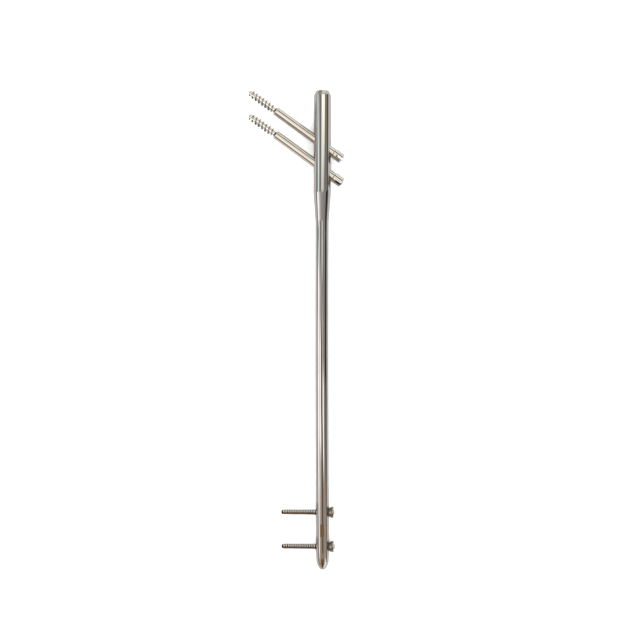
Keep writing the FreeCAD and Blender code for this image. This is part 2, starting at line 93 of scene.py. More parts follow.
def close_up(piece, merge=1e-4):
    """Welds the shell, turns its faces outwards and leaves edit mode."""
    bpy.ops.mesh.select_all(action="SELECT")
    bpy.ops.mesh.remove_doubles(threshold=merge)
    bpy.ops.mesh.normals_make_consistent(inside=False)
    bpy.ops.object.mode_set(mode="OBJECT")
    return piece


def only(piece):
    """Makes one object the selected and active one."""
    bpy.ops.object.select_all(action="DESELECT")
    piece.select_set(True)
    bpy.context.view_layer.objects.active = piece


def apply_modifiers(piece):
    """Makes all modifiers of a piece part of its mesh."""
    only(piece)
    for modifier in list(piece.modifiers):
        bpy.ops.object.modifier_apply(modifier=modifier.name)


def combine(piece, other, operation):
    """Cuts, joins or intersects a piece with another, which is then gone."""
    modifier = piece.modifiers.new(operation.title(), "BOOLEAN")
    modifier.operation = operation
    modifier.solver = "EXACT"
    modifier.object = other
    apply_modifiers(piece)
    bpy.data.objects.remove(other)


class Ring:
    """An open end of a shell, which grows as the ring is carried on."""

    def __init__(self, name, radius, segments, centre=(0, 0, 0), heading=(0, 0, 1)):
        self.centre = Vector(centre)
        self.heading = Vector(heading).normalized()
        self.radius = radius
        turn = self.heading.to_track_quat("Z", "Y").to_euler()
        self.piece = begin(
            name, bpy.ops.mesh.primitive_circle_add,
            vertices=segments, radius=radius, location=self.centre, rotation=turn,
        )

    def on(self, distance, radius=None):
        """Extrudes the ring some way along its heading, to a new radius."""
        step = self.heading * distance
        bpy.ops.mesh.extrude_region_move(TRANSFORM_OT_translate={"value": step})
        self.centre += step
        if radius is not None and abs(radius - self.radius) > 1e-9:
            ratio = radius / self.radius
            bpy.ops.transform.resize(value=(ratio,) * 3, center_override=self.centre)
            self.radius = radius
        return self

    def stretch(self, distance, pieces, radius=None):
        """The same in several equal steps."""
        first, last = self.radius, self.radius if radius is None else radius
        for step in range(1, pieces + 1):
            self.on(distance / pieces, first + (last - first) * step / pieces)
        return self

    def swing(self, pivot, axis, angle, steps):
        """Carries the ring round a pivot."""
        bpy.ops.mesh.spin(steps=steps, angle=angle, center=pivot, axis=axis)
        turn = Matrix.Rotation(-angle, 3, Vector(axis))
        self.centre = Vector(pivot) + turn @ (self.centre - Vector(pivot))
        self.heading = turn @ self.heading
        return self

    def solid(self):
        """Puts a face on each open end and gives the closed piece."""
        bpy.ops.mesh.edge_face_add()
        bpy.ops.mesh.select_all(action="DESELECT")
        bpy.ops.mesh.select_non_manifold()
        bpy.ops.mesh.edge_face_add()
        return close_up(self.piece)


def turned(name, profile, segments=64):
    """A solid of revolution about Z: profile holds (height, radius) from one end to the other."""
    (height, radius), *others = profile
    ring = Ring(name, radius, segments, centre=(0, 0, height))
    for following, radius in others:
        ring.on(following - ring.centre.z, radius)
    return ring.solid()


def chain(name, points):
    """A line of edges through points in the plane of X and Z."""
    piece = begin(name, bpy.ops.mesh.primitive_plane_add, size=1, location=(0, 0, 0))
    bpy.ops.mesh.merge(type="CENTER")
    here = Vector((0, 0))
    for number, point in enumerate(points):
        step = Vector(point) - here
        value = (step.x, 0, step.y)
        if number:
            bpy.ops.mesh.extrude_region_move(TRANSFORM_OT_translate={"value": value})
        else:
            bpy.ops.transform.translate(value=value)
        here = Vector(point)
    bpy.ops.object.mode_set(mode="OBJECT")
    return piece


def threaded(name, flight, pitch, turns, start, steps=48):
    """A threaded rod along Z, pointed at both ends. flight holds the (radius, height) corners
    of one pitch."""
    piece = chain(name, [(radius, start + height) for radius, height in flight])
    screw = piece.modifiers.new("Screw", "SCREW")
    screw.axis = "Z"
    screw.angle = TURN
    screw.screw_offset = pitch
    screw.iterations = turns
    screw.steps = screw.render_steps = steps
    screw.use_smooth_shade = False
    apply_modifiers(piece)
    bpy.ops.object.mode_set(mode="EDIT")
    bpy.ops.mesh.select_all(action="SELECT")
    bpy.ops.mesh.remove_doubles(threshold=1e-3)
    middle = start + pitch * (turns + 1) / 2
    point_length = 3 * pitch
    for way in (-1, 1):
        bpy.ops.mesh.select_all(action="DESELECT")
        bpy.ops.mesh.select_non_manifold()
        bpy.ops.object.mode_set(mode="OBJECT")
        for vertex in piece.data.vertices:
            vertex.select = vertex.select and (vertex.co.z - middle) * way > 0
        for edge in piece.data.edges:
            ends = (piece.data.vertices[index] for index in edge.vertices)
            edge.select = edge.select and all(end.select for end in ends)
        bpy.ops.object.mode_set(mode="EDIT")
        step = (0, 0, way * point_length)
        bpy.ops.mesh.extrude_region_move(TRANSFORM_OT_translate={"value": step})
        bpy.ops.mesh.merge(type="CENTER")
    return close_up(piece, merge=1e-5)


def rod(name, radius, length, centre, axis, segments=64):
    """A cylinder for cutting, shaped from a ring."""
    axis = Vector(axis).normalized()
    ring = Ring(name, radius, segments, Vector(centre) - axis * length / 2, axis)
    ring.on(length)
    return ring.solid()


def block(name, size, centre, turn=None):
    """A box for cutting."""
    piece = begin(name, bpy.ops.mesh.primitive_cube_add, size=1, location=centre)
    bpy.ops.transform.resize(value=size, center_override=centre)
    bpy.ops.object.mode_set(mode="OBJECT")
    if turn is not None:
        piece.matrix_world = turn @ piece.matrix_world
    return piece


def drop_flaps(piece, weld=1e-7):
    """Welds what the cuts left apart, splits faces of many sides into triangles, and deletes
    the slivers among them that lie on each other or hang by one edge."""
    only(piece)
    bpy.ops.object.mode_set(mode="EDIT")
    bpy.ops.mesh.select_all(action="SELECT")
    bpy.ops.mesh.remove_doubles(threshold=weld)
    bpy.ops.mesh.select_all(action="DESELECT")
    bpy.ops.mesh.select_face_by_sides(number=4, type="GREATER")
    bpy.ops.mesh.quads_convert_to_tris()
    bpy.ops.object.mode_set(mode="OBJECT")
    corners = [frozenset(face.vertices) for face in piece.data.polygons]
    times = Counter(corners)
    users = Counter(key for face in piece.data.polygons for key in face.edge_keys)
    for face, own_corners in zip(piece.data.polygons, corners):
        hanging = sum(users[key] == 1 for key in face.edge_keys) > 1
        face.select = hanging or times[own_corners] > 1
    bpy.context.tool_settings.mesh_select_mode = (False, False, True)
    bpy.ops.object.mode_set(mode="EDIT")
    bpy.ops.mesh.delete(type="ONLY_FACE")
    bpy.context.tool_settings.mesh_select_mode = (True, False, False)
    bpy.ops.mesh.select_all(action="SELECT")
    bpy.ops.mesh.delete_loose(use_verts=True, use_edges=True, use_faces=False)
    bpy.ops.object.mode_set(mode="OBJECT")


def settle(piece, place, node, finishes, which, sharp):
    """Puts a finished piece in place of its node. which gives a face's finish from its height
    and its distance from the piece's own axis. Edges stay crisp where their faces meet at more
    than sharp degrees."""
    picked = [
        finishes.index(which(face.center.z, face.center.xy.length))
        for face in piece.data.polygons
    ]
    piece.matrix_world = place @ Matrix.Scale(MM, 4) @ piece.matrix_world
    only(piece)
    bpy.ops.object.transform_apply(location=True, rotation=True, scale=True)
    bpy.ops.object.shade_smooth_by_angle(angle=math.radians(sharp))
    piece.data.materials.clear()
    for finish in finishes:
        piece.data.materials.append(finish)
    for face, number in zip(piece.data.polygons, picked):
        face.material_index = number
    drop_flaps(piece)
    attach(piece, node)
    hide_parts(node)


def own(vector):
    """A vector of the frame, along the nail's own axes."""
    vector = Vector(vector)
    return Vector((vector.dot(LATERAL), vector.dot(PROXIMAL), vector.dot(ANTERIOR)))


def axes_place(origin, x_axis, y_axis, z_axis):
    """The matrix of a frame from its origin and its three axes."""
    place = Matrix((x_axis, y_axis, z_axis)).transposed().to_4x4()
    place.translation = origin
    return place


# Finishes

# Numbers of outputs: Object and Generated of Texture Coordinate, of which the second is the
# direction in a world, Is Glossy Ray of Light Path, and the colour that a Mix node gives
OBJECT_COORDINATES = 3
DIRECTION = 0
IS_GLOSSY_RAY = 3
MIXED_COLOUR = 2


class Value:
    """A shader value that takes part in expressions."""

    def __init__(self, tree, socket):
        self.tree = tree
        self.socket = socket

    def node(self, kind, settings=None, output=0, **inputs):
        """Adds a node, sets what it is told, links or fills its inputs and gives an output.
        An input goes by its name, or by i and its number."""
        made = self.tree.nodes.new(kind)
        for name, setting in (settings or {}).items():
            if name == "stops":
                ramp = made.color_ramp
                while len(ramp.elements) < len(setting):
                    ramp.elements.new(1)
                for element, (place, colour) in zip(ramp.elements, setting):
                    element.position = place
                    element.color = (*colour, 1)
            else:
                setattr(made, name, setting)
        for name, given in inputs.items():
            place = made.inputs[int(name[1:]) if name[1:].isdigit() else name]
            if isinstance(given, Value):
                self.tree.links.new(given.socket, place)
            else:
                place.default_value = given
        return Value(self.tree, made.outputs[output])

    def maths(self, operation, *others):
        """The outcome of a Math node for this value and others."""
        inputs = {f"i{number}": given for number, given in enumerate((self, *others))}
        return self.node("ShaderNodeMath", {"operation": operation}, **inputs)

    def __add__(self, other):
        return self.maths("ADD", other)

    def __sub__(self, other):
        return self.maths("SUBTRACT", other)

    def __mul__(self, other):
        return self.maths("MULTIPLY", other)

    def __truediv__(self, other):
        return self.maths("DIVIDE", other)

    __radd__ = __add__
    __rmul__ = __mul__

    def __rsub__(self, other):
        return self.node("ShaderNodeMath", {"operation": "SUBTRACT"}, i0=other, i1=self)

    def __rtruediv__(self, other):
        return self.node("ShaderNodeMath", {"operation": "DIVIDE"}, i0=other, i1=self)

    def clamp(self, low=0.0, high=1.0):
        """The value, kept between low and high."""
        return self.maths("MAXIMUM", low).maths("MINIMUM", high)

    def window(self, low, high, soft):
        """One between low and high and nothing outside, with soft edges."""
        return ((self - low) / soft + 0.5).clamp() * ((high - self) / soft + 0.5).clamp()


def mixed(factor, first, second):
    """The first colour where the factor is nothing, the second where it is one."""
    return factor.node(
        "ShaderNodeMix", {"data_type": "RGBA"}, output=MIXED_COLOUR, i0=factor, i6=first, i7=second,
    )


def polished_steel(name, tint, roughness, grain, grain_size=1200.0, stretch=(1.0, 1.0, 1.0)):
    """Polished implant steel with the belt's fine lines, which stretch sets across an axis, and
    with faint clouds that darken it a little."""
    cloud_grain = grain * 0.6
    smoothest, roughest = 0.03, 0.6
    clouded = tuple(channel * 0.93 for channel in tint)

    material = bpy.data.materials.new(name)
    material.use_nodes = True
    tree = material.node_tree
    tree.nodes.clear()
    shader = tree.nodes.new("ShaderNodeBsdfPrincipled")
    output = tree.nodes.new("ShaderNodeOutputMaterial")
    tree.links.new(shader.outputs[0], output.inputs[0])
    shader.inputs["Metallic"].default_value = 1.0
    start = Value(tree, None)
    place = start.node("ShaderNodeTexCoord", output=OBJECT_COORDINATES)
    lines_at = start.node("ShaderNodeMapping", Vector=place, Scale=stretch)
    lines = start.node(
        "ShaderNodeTexNoise", {"noise_dimensions": "3D"},
        Vector=lines_at, Scale=grain_size, Detail=3.0, Roughness=0.6,
    )
    cloud = start.node("ShaderNodeTexNoise", Vector=place, Scale=60.0, Detail=2.0)
    rough = (lines - 0.5) * grain + (cloud - 0.5) * cloud_grain + roughness
    tree.links.new(rough.clamp(smoothest, roughest).socket, shader.inputs["Roughness"])
    colour = start.node(
        "ShaderNodeValToRGB", {"stops": [(0.3, clouded), (0.7, tint)]}, Fac=cloud,
    )
    tree.links.new(colour.socket, shader.inputs["Base Color"])
    bump = start.node("ShaderNodeBump", Strength=0.15, Distance=0.000002, Height=lines)
    tree.links.new(bump.socket, shader.inputs["Normal"])
    return material


# Sizes and settings

def length(name, description, default):
    """A property for a length, in metres."""
    return bpy.props.FloatProperty(
        name=name, description=description, default=default, min=0, precision=5,
        subtype="DISTANCE", unit="LENGTH",
    )


def angle(name, description, default):
    """A property for an angle, whose default is given in degrees."""
    return bpy.props.FloatProperty(
        name=name, description=description, default=math.radians(default), subtype="ANGLE",
    )


def colour(name, description, default):
    """A property for a colour."""
    return bpy.props.FloatVectorProperty(
        name=name, description=description, default=default, size=3, min=0, max=1,
        subtype="COLOR",
    )


class NailSizes(bpy.types.PropertyGroup):
    """Sizes and colour of the nail"""

    length: length("Length", "Along the axis, from the proximal rim to the tip", 0.360)
    head_diameter: length("Head diameter", "Thick proximal section", 0.013)
    head_length: length("Head length", "Thick section, from the rim to the taper", 0.0765)
    taper_length: length("Taper length", "Cone from the thick section to the shaft", 0.022)
    shaft_diameter: length("Shaft diameter", "Slim part of the nail", 0.010)
    bow_radius: length("Bow radius", "Radius of the forward bow", 1.5)
    distal_straight: length("Straight end", "Straight part at the tip", 0.060)
    bevel_width: length("Bevel width", "Bevel round the proximal rim, across", 0.0014)
    bevel_length: length("Bevel length", "Bevel round the proximal rim, along", 0.0032)
    lag_hole_diameter: length("Lag holes", "Diameter of the lag screws' holes", 0.00666)
    lock_hole_diameter: length("Locking holes", "Diameter of the locking screws' holes", 0.0047)
    tint: colour("Steel colour", "Colour of the polished nail", (0.46, 0.45, 0.44))


class LagScrewSizes(bpy.types.PropertyGroup):
    """Sizes, colours, painted shade and painted highlight of both lag screws"""

    length: length("Length", "From the tip to the head", 0.0805)
    diameter: length("Diameter", "Plain shank", 0.0065)
    crest_diameter: length("Thread diameter", "Thread crest", 0.0064)
    core_diameter: length("Core diameter", "Thread root", 0.0037)
    pitch: length("Pitch", "From one flight to the next", 0.003)
    thread_length: length("Thread length", "From the tip to the full shank", 0.0265)
    head_diameter: length("Head diameter", "Head of the lag screw", 0.0076)
    head_length: length("Head length", "Head with its conical underside", 0.0076)
    tint: colour("Steel colour", "Colour of the lag screws", (0.63, 0.62, 0.59))
    # Painted shade: the thread's flanks are painted almost black, for the shade between the
    # flights.
    thread_tint: colour("Thread colour", "Colour of the thread's flanks", (0.12, 0.115, 0.105))
    # Painted highlight: the thread's root is painted lighter than the plain steel, for bright spots
    # between the flights.
    root_tint: colour("Root colour", "Colour of the thread's root", (0.85, 0.84, 0.80))
    # Painted shade: the inside of the slot and of the tapped hole is painted almost black.
    slot_tint: colour("Slot colour", "Colour of the slot's inside", (0.07, 0.065, 0.06))


class LockingScrewSizes(bpy.types.PropertyGroup):
    """Sizes, colours, painted shade and painted highlight of both locking screws"""

    length: length("Length", "Over all", 0.040)
    diameter: length("Diameter", "Thread crest", 0.0045)
    core_diameter: length("Core diameter", "Thread root", 0.0033)
    pitch: length("Pitch", "From one flight to the next", 0.00175)
    head_diameter: length("Head diameter", "Widest part of the head", 0.0085)
    tint: colour("Steel colour", "Colour of the locking screws", (0.78, 0.76, 0.73))
    # Painted shade: the thread's flanks and root are painted almost black, for the shade between
    # the flights.
    thread_tint: colour(
        "Thread colour", "Colour of the thread's flanks and root", (0.06, 0.05, 0.04),
    )
    # Painted highlight: the thread's crest is painted lighter than the plain steel.
    crest_tint: colour("Crest colour", "Colour of the thread's crest", (0.95, 0.93, 0.90))
    # Painted shade: the head's underside and the hexagon socket are painted dark, for the shade
    # under the head and in the socket and for the dark nail mirrored there.
    cone_tint: colour(
        "Cone colour", "Colour of the head's underside and hexagon", (0.26, 0.24, 0.21),
    )


class StageSettings(bpy.types.PropertyGroup):
    """The camera, the floor and its light"""

    distance: length("Camera distance", "From the camera to the middle of the nail", 1.0)
    lateral_turn: angle("Camera turn", "How far the camera leans to the screw heads' side", 0.0)
    proximal_tilt: angle("Camera tilt", "How far the camera leans to the proximal end", 0.0)
    roll: angle("Camera roll", "How far the camera turns anticlockwise about its own view", 0.186)
    aim: bpy.props.FloatVectorProperty(
        name="Aim", description="Where the camera looks, right of and above the middle of the nail",
        default=(-0.0013, 0.00734), size=2, precision=5, unit="LENGTH",
    )
    lens: bpy.props.FloatProperty(
        name="Lens", description="Focal length in millimetres", default=75.06, min=1,
    )
    floor_colour: colour("Floor colour", "Plain pale floor", (0.93, 0.93, 0.93))
    mirrored_floor: colour(
        "Floor in the steel", "The floor as the steel mirrors it", (0.47, 0.46, 0.45),
    )
    floor_light: bpy.props.FloatProperty(
        name="Floor light", description="Strength of the even light that falls on the floor",
        default=2.3, min=0,
    )


# Smaller sizes of the nail, in millimetres. Diameters are given as radii.
NAIL_SIDES = 96
BOW_STEPS = 24
BORE = 1.6
SOCKET_MOUTH = 4.2
KEY_WIDTH, KEY_DEPTH = 3, 2.6
LEAD_LENGTH, LEAD_END = 7.5, 4.68
NOSE_LENGTH, NOSE_START, NOSE_END, NOSE_STEPS = 7.2, 4.65, 1.9, 12
LOCK_DISTANCE, LOCK_SPACING, LOCK_SEAT = 17.3, 26.2, 1
FLAT_LENGTH, FLAT_DEPTH = 9.6, 0.2
SEAM = 0.02


class NAILSET_OT_nail(bpy.types.Operator):
    """Model the nail: a bowed tube with its taper, nose, socket, cross holes and notches"""

    bl_idname = "nailset.nail"
    bl_label = "Nail"

    def execute(self, context):
        sizes = context.scene.nailset_nail
        head = sizes.head_diameter / MM / 2
        shaft = sizes.shaft_diameter / MM / 2
        head_length = sizes.head_length / MM
        taper = sizes.taper_length / MM
        bow = sizes.bow_radius / MM
        straight = sizes.distal_straight / MM
        bow_angle = (sizes.length / MM - head_length - taper - straight) / bow
        thread = MOUNTS["insertion_socket"]["dims"]
        thread_radius, thread_length = thread["r_mm"], thread["length_mm"]
        thread_end = thread_length + SOCKET_MOUTH - thread_radius

        # Outside, from the rim to the tip, with a close pair of rings at each edge
        bevel = sizes.bevel_length / MM
        rim = head - sizes.bevel_width / MM
        slope = (head - shaft) / taper
        ring = Ring("nail_polished", rim, NAIL_SIDES, (0, 0, 0), (0, -1, 0))
        ring.on(bevel - 0.1, head - 0.04).on(0.2, head).on(0.4)
        ring.stretch(head_length - bevel - 1.5, 12).on(1)
        ring.on(1.0, head - slope).stretch(taper - 2, 6, shaft + slope).on(1.0, shaft)
        pivot = (0, ring.centre.y, -bow)
        ring.swing(pivot, (1, 0, 0), -bow_angle, BOW_STEPS)
        ring.on(3).stretch(straight - (3 + LEAD_LENGTH + 0.3 + NOSE_LENGTH), 12)
        ring.stretch(LEAD_LENGTH, 3, LEAD_END).on(0.3, NOSE_START)
        drop = NOSE_START - NOSE_END
        ogive = (NOSE_LENGTH ** 2 + drop ** 2) / (2 * drop)
        for step in range(1, NOSE_STEPS + 1):
            along = NOSE_LENGTH * step / NOSE_STEPS
            narrowed = NOSE_START - ogive + math.sqrt(ogive ** 2 - along ** 2)
            ring.on(NOSE_LENGTH / NOSE_STEPS, narrowed)

        # Inside, from the tip back to the rim: the guide wire's bore, then the socket
        ring.on(0.0, BORE + 0.1).on(-0.1, BORE).on(-straight + 0.1)
        ring.swing(pivot, (1, 0, 0), bow_angle, BOW_STEPS)
        up = head_length + taper
        ring.on(-(up - thread_end - thread_radius + BORE))
        ring.on(-(thread_radius - BORE), thread_radius)
        ring.stretch(-thread_length, 6)
        ring.on(-(SOCKET_MOUTH - thread_radius), SOCKET_MOUTH).on(0.0, rim)
        piece = close_up(ring.piece, merge=SEAM)

        lag_hole = sizes.lag_hole_diameter / MM / 2
        for side in ("upper", "lower"):
            outward = own(JOINTS[f"lag_screw_{side}_slide"]["axis"])
            tail = own(MOUNTS[f"lag_screw_{side}_tail"]["pos_m"]) / MM
            crossing = tail - outward * (tail.x / outward.x)
            combine(piece, rod("lag_hole", lag_hole, 44, crossing, outward), "DIFFERENCE")

        # The straight distal end: where it starts, which way it runs and which way is forward
        down = Vector((0, -math.cos(bow_angle), -math.sin(bow_angle)))
        start = Vector((0, -up - bow * math.sin(bow_angle), -bow * (1 - math.cos(bow_angle))))
        forward = Vector((0, down.z, -down.y))
        lock_hole = sizes.lock_hole_diameter / MM / 2
        seat = lock_hole + 2 * LOCK_SEAT
        for distance in (LOCK_DISTANCE, LOCK_DISTANCE + LOCK_SPACING):
            centre = start + down * (straight - distance)
            hole = turned("lock_hole", [
                (-12, lock_hole), (shaft - LOCK_SEAT, lock_hole),
                (shaft + LOCK_SEAT, seat), (shaft + 2 * LOCK_SEAT, seat),
            ])
            hole.matrix_world = axes_place(
                centre, Vector((0, 0, -1)), Vector((0, 1, 0)), Vector((1, 0, 0)),
            )
            combine(piece, hole, "DIFFERENCE")
        notch = block("notch", (20, 2 * KEY_DEPTH, KEY_WIDTH), (0, 0, 0))
        combine(piece, notch, "DIFFERENCE")
        between = start + down * (straight - LOCK_DISTANCE - LOCK_SPACING / 2)
        place = Matrix.Translation(between + forward * (shaft - FLAT_DEPTH + 1))
        turn = Matrix.Rotation(bow_angle, 4, "X")
        flat = block("flat", (12, FLAT_LENGTH, 2), (0, 0, 0), place @ turn)
        combine(piece, flat, "DIFFERENCE")

        place = axes_place(Vector((0, 0, 0)), LATERAL, PROXIMAL, ANTERIOR)
        finish = polished_steel("nail_finish", sizes.tint, 0.05, 0.03, 900.0, (0.4, 4.0, 0.4))
        settle(
            piece, place, "nail", [finish], lambda height, radius: finish, sharp=12,
        )
        return {"FINISHED"}


# Smaller sizes of the lag screws, in millimetres, with radii for diameters
FOOT_START, CREST_START, CREST_END = 1.8, 2.475, 2.775
BLANK, POINT, POINT_LENGTH, NECK_LENGTH = 3.35, 0.15, 3.2, 1.6
THREAD_TURNS, THREAD_START = 11, 4.5
FLUTES, FLUTE, FLUTE_BITE, FLUTE_LENGTH, FLUTE_MIDDLE = 3, 1.7, 0.25, 8, 3
SLOT_WIDTH, SLOT_DEPTH = 1.8, 4.6
SLOT_TURNS = {"upper": 11, "lower": 34}
TAP, TAP_CREST, TAP_MOUTH = 1.65, 1.98, 1.6
TAP_PITCH, TAP_TURNS, TAP_DEPTH, TAP_THREAD = 0.7, 19, 12.0, 11.2


class NAILSET_OT_lag_screws(bpy.types.Operator):
    """Model the two lag screws: coarse thread with cutting flutes, shank, slotted head"""

    bl_idname = "nailset.lag_screws"
    bl_label = "Lag screws"

    def execute(self, context):
        sizes = context.scene.nailset_lag
        core = sizes.core_diameter / MM / 2
        crest = sizes.crest_diameter / MM / 2
        shank = sizes.diameter / MM / 2
        head = sizes.head_diameter / MM / 2
        tail = sizes.head_length / MM
        tip = -sizes.length / MM
        pitch = sizes.pitch / MM
        full = tip + sizes.thread_length / MM
        runout = full - (shank - core + 0.05)
        # The thread's flanks get painted shade, almost black.
        flanks = polished_steel("lag_thread_finish", sizes.thread_tint, 0.12, 0.06)
        plain = polished_steel("lag_screw_finish", sizes.tint, 0.07, 0.04)
        # The thread's root gets a painted highlight, lighter than the plain steel.
        root = polished_steel("lag_root_finish", sizes.root_tint, 0.10, 0.06)
        # The inside of the slot and tapped hole gets painted shade, almost black.
        inside = polished_steel("lag_slot_finish", sizes.slot_tint, 0.35, 0.08)
        finishes = [plain, flanks, root, inside]

        # The thread's flanks get the painted shade, its root the painted highlight, and the inside
        # of the slot and tapped hole the painted shade; the rest is the steel's own colour.
        def which(height, radius):
            if height < runout:
                return root if radius < core + 0.1 else flanks if radius < crest - 0.05 else plain
            in_head = tail - TAP_DEPTH < height < tail - 0.02
            return inside if in_head and radius < shank - 0.1 else plain

        for side, slot_turn in SLOT_TURNS.items():
            node = f"lag_screw_{side}"
            flight = [
                (core, 0), (core, FOOT_START), (crest, CREST_START), (crest, CREST_END),
                (core, pitch),
            ]
            piece = threaded(
                f"{node}_detailed", flight, pitch, THREAD_TURNS, tip - THREAD_START,
            )
            envelope = turned("envelope", [
                (tip, POINT), (tip + POINT_LENGTH, BLANK), (runout - NECK_LENGTH, BLANK),
                (runout - NECK_LENGTH, core + 0.02), (runout - 1.0, core - 0.04),
            ])
            away = core + FLUTE - FLUTE_BITE
            for number in range(FLUTES):
                turn = math.radians(360 / FLUTES * number)
                centre = (away * math.cos(turn), away * math.sin(turn), tip + FLUTE_MIDDLE)
                flute = rod("flute", FLUTE, FLUTE_LENGTH, centre, (0, 0, 1), 32)
                combine(envelope, flute, "DIFFERENCE")
            combine(piece, envelope, "INTERSECT")

            # Shank and head, with a close pair of rings at each edge
            body = turned("shank", [
                (runout - 1.8, core - 0.05), (runout, core - 0.05), (full - 0.5, shank - 0.45),
                (full - 0.1, shank - 0.04), (full + 0.1, shank), (full + 0.7, shank),
                (-0.4, shank), (0, shank), (0.05, shank + 0.05),
                (head - shank - 0.05, head - 0.05), (head - shank, head),
                (head - shank + 0.3, head), (tail - 0.7, head), (tail - 0.5, head),
                (tail - 0.45, head - 0.05), (tail - 0.05, head - 0.45),
                (tail, head - 0.5), (tail, head - 1.0),
            ])
            combine(piece, body, "UNION")
            turn = Matrix.Rotation(math.radians(slot_turn), 4, "Z")
            slot = block("slot", (SLOT_WIDTH, 20, SLOT_DEPTH * 2), (0, 0, tail), turn)
            combine(piece, slot, "DIFFERENCE")

            # The tapped hole: a threaded rod, cut to length, with the drill's bore through it
            tap = threaded(
                "tap",
                [(TAP, 0), (TAP, 0.1), (TAP_CREST, 0.32), (TAP_CREST, 0.42), (TAP, TAP_PITCH)],
                TAP_PITCH, TAP_TURNS, tail - TAP_DEPTH, 32,
            )
            mouth = turned("mouth", [
                (tail - TAP_DEPTH - 0.9, 0.1), (tail - TAP_DEPTH, TAP - 0.01),
                (tail + 1, TAP - 0.01), (tail + 1.1, TAP_MOUTH),
            ], 32)
            limit = turned("limit", [(tail - TAP_THREAD, 3), (tail + 0.9, 3)], 32)
            combine(tap, limit, "INTERSECT")
            combine(tap, mouth, "UNION")
            combine(piece, tap, "DIFFERENCE")

            outward = Vector(JOINTS[f"{node}_slide"]["axis"]).normalized()
            base = Vector(MOUNTS[f"{node}_tail"]["pos_m"]) - outward * sizes.head_length
            place = axes_place(base, ANTERIOR.cross(outward), ANTERIOR, outward)
            settle(piece, place, node, finishes, which, sharp=28)
        return {"FINISHED"}


# Smaller sizes of the locking screws, in millimetres, with radii for diameters. Heights count
# from where the seating cone begins.
HEAD_TOP = 4.75
COLLAR_HEIGHT, COLLAR, DOME_HEIGHT, DOME_STEPS = 1.15, 3.4, 2.6, 8
CONE_END = 3.6
HEXAGON_WIDTH, HEXAGON_DEPTH = 3.5, 2.8
LOCK_BLANK, LOCK_TURNS, LOCK_START = 2.4, 23, 3.0


class NAILSET_OT_locking_screws(bpy.types.Operator):
    """Model the two locking screws: fine thread, bevelled tip, domed underside, hexagon"""

    bl_idname = "nailset.locking_screws"
    bl_label = "Locking screws"

    def execute(self, context):
        sizes = context.scene.nailset_lock
        core = sizes.core_diameter / MM / 2
        crest = sizes.diameter / MM / 2
        head = sizes.head_diameter / MM / 2
        pitch = sizes.pitch / MM
        tip = HEAD_TOP - sizes.length / MM
        # The thread's flanks and root get painted shade, almost black.
        shade = polished_steel("locking_thread_finish", sizes.thread_tint, 0.25, 0.08)
        plain = polished_steel("locking_screw_finish", sizes.tint, 0.08, 0.04)
        # The thread's crest gets a painted highlight, lighter than the plain steel.
        top = polished_steel("locking_crest_finish", sizes.crest_tint, 0.12, 0.04)
        # The head's underside and the hexagon socket get painted shade.
        cone = polished_steel("locking_cone_finish", sizes.cone_tint, 0.15, 0.06)
        finishes = [plain, shade, top, cone]

        # The thread's flanks and root get the painted shade, its crest the painted highlight, and
        # the head's underside and hexagon the painted shade; the rest is the steel's own colour.
        def which(height, radius):
            if height < 0:
                return shade if radius < crest - 0.1 else top
            in_hexagon = radius < HEXAGON_WIDTH / 2 + 0.2 and height < HEAD_TOP - 0.02
            return cone if height < CONE_END or in_hexagon else plain

        for side in ("upper", "lower"):
            node = f"locking_screw_{side}"
            flight = [
                (core, 0), (core, pitch * 0.3), (crest, pitch * 0.5), (crest, pitch * 0.88),
                (core, pitch),
            ]
            piece = threaded(f"{node}_detailed", flight, pitch, LOCK_TURNS, tip - LOCK_START)
            envelope = turned("envelope", [
                (tip, 0.6), (tip + 0.15, 1.05), (tip + 0.5, 1.55), (tip + 1.1, 2.0),
                (tip + 2.0, LOCK_BLANK), (-0.35, LOCK_BLANK), (-0.3, 1.6),
            ], 48)
            combine(piece, envelope, "INTERSECT")
            dome = []
            for step in range(1, DOME_STEPS + 1):
                swell = math.sin(step / DOME_STEPS * math.pi / 2) ** 0.9
                height = COLLAR_HEIGHT + DOME_HEIGHT * step / DOME_STEPS
                dome.append((height, COLLAR + (head - COLLAR) * swell))
            body = turned("head", [
                (-1.5, core - 0.02), (-0.5, core - 0.02), (0, crest), (COLLAR_HEIGHT, COLLAR),
                *dome, (4.1, head), (4.2, head - 0.04), (4.7, head - 0.54),
                (HEAD_TOP, head - 0.62), (HEAD_TOP, head - 1.2),
            ])
            combine(piece, body, "UNION")
            corners = HEXAGON_WIDTH / math.sqrt(3)
            hexagon = rod("hexagon", corners, HEXAGON_DEPTH * 2, (0, 0, HEAD_TOP), (0, 0, 1), 6)
            combine(piece, hexagon, "DIFFERENCE")

            outward = Vector(JOINTS[f"{node}_slide"]["axis"]).normalized()
            base = Vector(MOUNTS[f"{node}_hexagon"]["pos_m"]) - outward * HEAD_TOP * MM
            distal_front = Vector((0, 0, 1)).lerp(ANTERIOR, 0.5)
            front = (distal_front - outward * distal_front.dot(outward)).normalized()
            place = axes_place(base, front.cross(outward), front, outward)
            settle(piece, place, node, finishes, which, sharp=28)
        return {"FINISHED"}


